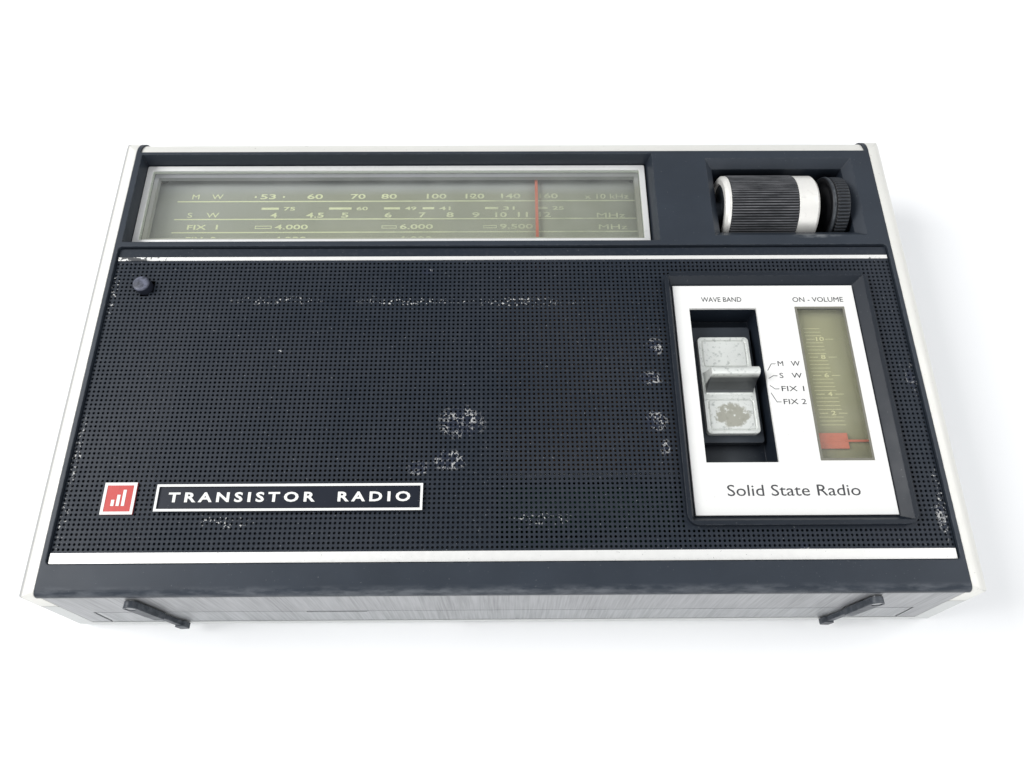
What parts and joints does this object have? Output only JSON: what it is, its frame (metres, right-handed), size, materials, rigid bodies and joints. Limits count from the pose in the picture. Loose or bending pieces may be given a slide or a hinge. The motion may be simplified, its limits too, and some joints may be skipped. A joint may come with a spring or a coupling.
{
  "type": "portable multiband transistor radio",
  "caption": "Slim portable three-band radio lying on its back: wide dial, knob well, full grille, recessed band selector, swing feet and a folded telescopic antenna.",
  "frame": {"origin": "middle of the radio's bounding box at the back face, which lies on the table", "axes": "+X across the front to the right, +Y up the front towards the dial edge, +Z out of the front"},
  "size_m": [0.242, 0.1542, 0.035],
  "materials": {
    "black_plastic": "fine-grained moulding, slightly satin",
    "silver_plastic": "silver-sprayed plastic, satin",
    "grey_plastic": "light grey moulding, satin",
    "brushed_plate": "brushed, satin",
    "chrome_trim": "polished plating",
    "clear_plastic": "clear moulding, gloss",
    "olive_print": "printed sheet, matte",
    "white_plastic": "off-white, satin",
    "red_plastic": "gloss",
    "rubber_sleeve": "ribbed, satin",
    "steel": "plated, satin",
    "brass_part": "turned, satin",
    "lamp_glass": "clear glass bulb",
    "brown_board": "paper laminate, matte",
    "ferrite": "sintered, matte",
    "copper_wire": "enamelled winding, satin",
    "aluminium_can": "drawn can, satin",
    "blue_sleeve": "shrink sleeve, satin",
    "paper": "pressed paper, matte",
    "cell_wrap": "printed jacket, satin"
  },
  "bodies": {
    "case": {"cabinet_front": "black_plastic", "top_cap": "silver_plastic", "side_cap_left": "silver_plastic", "side_cap_right": "silver_plastic", "rear_case": "grey_plastic", "bottom_plate": "brushed_plate", "service_cover": "grey_plastic", "grille_panel": "black_plastic", "panel_stripes": "chrome_trim", "dial_frame": "chrome_trim", "dial_lens": "clear_plastic", "dial_scale": "olive_print", "guide_rails": "steel", "dial_lamps": "lamp_glass", "volume_control": "steel", "control_bezel": "black_plastic", "control_plate": "white_plastic", "band_switch": "brown_board", "volume_lens": "clear_plastic", "volume_scale": "olive_print", "button_spring": "steel", "lamp_switch": "brown_board", "badge": "red_plastic", "nameplate": "black_plastic", "foot_pins": "steel", "circuit_board": "brown_board", "tuning_capacitor": "white_plastic", "ferrite_rod": "ferrite", "antenna_coils": "copper_wire", "rod_holders": "white_plastic", "if_cans": "aluminium_can", "electrolytics": "blue_sleeve", "crystals": "aluminium_can", "speaker_frame": "steel", "speaker_cone": "paper", "speaker_magnet": "ferrite", "battery_cells": "cell_wrap", "battery_contacts": "steel", "earphone_jack": "black_plastic", "case_screws": "steel"},
    "tuning_knob": {"tuning_shaft": "black_plastic", "cord_pulley": "brass_part", "knob_sleeve": "rubber_sleeve", "knob_band": "chrome_trim", "knob_ring": "chrome_trim"},
    "pointer": {"dial_pointer": "red_plastic"},
    "drum": {"capacitor_drum": "white_plastic"},
    "volume_knob": {"volume_wheel": "black_plastic"},
    "volume_flag": {"volume_pointer": "red_plastic"},
    "selector": {"selector_slide": "chrome_trim", "selector_shutter": "black_plastic"},
    "lamp_button": {"light_button": "black_plastic"},
    "left_foot": {"foot_left": "black_plastic"},
    "right_foot": {"foot_right": "black_plastic"},
    "door": {"battery_door": "grey_plastic"},
    "antenna_swivel": {"antenna_base": "chrome_trim"},
    "antenna_1": {"antenna_tube_1": "chrome_trim"},
    "antenna_2": {"antenna_tube_2": "chrome_trim"},
    "antenna_3": {"antenna_tube_3": "chrome_trim"},
    "antenna_4": {"antenna_rod": "chrome_trim"}
  },
  "joints": [
    {"name": "tuning_turn", "type": "hinge", "parent": "case", "child": "tuning_knob", "pos_m": [0.08, 0.04665, 0.024], "axis": [1, 0, 0], "range_deg": [-993.5, 83.6]},
    {"name": "pointer_slide", "type": "slide", "parent": "case", "child": "pointer", "axis": [1, 0, 0], "range_m": [-0.0868, 0.0074]},
    {"name": "drum_turn", "type": "hinge", "parent": "case", "child": "drum", "pos_m": [0.034, 0.04665, 0.016], "axis": [0, 0, 1], "range_deg": [-311, 26.5]},
    {"name": "volume_turn", "type": "hinge", "parent": "case", "child": "volume_knob", "pos_m": [0.1024, 0.04665, 0.024], "axis": [-1, 0, 0], "range_deg": [0, 280]},
    {"name": "volume_flag_slide", "type": "slide", "parent": "case", "child": "volume_flag", "axis": [0, 1, 0], "range_m": [0, 0.0311]},
    {"name": "selector_slide", "type": "slide", "parent": "case", "child": "selector", "axis": [0, -1, 0], "range_m": [0, 0.0066]},
    {"name": "light_button_press", "type": "slide", "parent": "case", "child": "lamp_button", "axis": [0, 0, -1], "range_m": [0, 0.0018], "stiffness_N_per_m": 500, "springref_m": -0.0006, "deforming": ["button_spring"]},
    {"name": "left_foot_swing", "type": "hinge", "parent": "case", "child": "left_foot", "pos_m": [-0.093, -0.07098, 0.027], "axis": [0, -0.9873, 0.1591], "range_deg": [-11.5, 78.5]},
    {"name": "right_foot_swing", "type": "hinge", "parent": "case", "child": "right_foot", "pos_m": [0.093, -0.07098, 0.027], "axis": [0, 0.9873, -0.1591], "range_deg": [-11.5, 78.5]},
    {"name": "battery_door_slide", "type": "slide", "parent": "case", "child": "door", "axis": [0, -1, 0], "range_m": [0, 0.04]},
    {"name": "antenna_turn", "type": "hinge", "parent": "case", "child": "antenna_swivel", "pos_m": [0.104, 0.06785, 0.0065], "axis": [0, 1, 0], "range_deg": [-180, 180]},
    {"name": "antenna_tilt", "type": "hinge", "parent": "antenna_swivel", "child": "antenna_1", "pos_m": [0.104, 0.07485, 0.0065], "axis": [0, 0, -1], "range_deg": [0, 90]},
    {"name": "antenna_section_2", "type": "slide", "parent": "antenna_1", "child": "antenna_2", "axis": [-1, 0, 0], "range_m": [0, 0.12]},
    {"name": "antenna_section_3", "type": "slide", "parent": "antenna_2", "child": "antenna_3", "axis": [-1, 0, 0], "range_m": [0, 0.12]},
    {"name": "antenna_section_4", "type": "slide", "parent": "antenna_3", "child": "antenna_4", "axis": [-1, 0, 0], "range_m": [0, 0.12]}
  ],
  "couplings": [
    {"joint": "pointer_slide", "follows": "tuning_turn", "m_per_rad": 0.005},
    {"joint": "drum_turn", "follows": "tuning_turn", "ratio": 0.3125},
    {"joint": "volume_flag_slide", "follows": "volume_turn", "m_per_rad": 0.0063435}
  ]
}
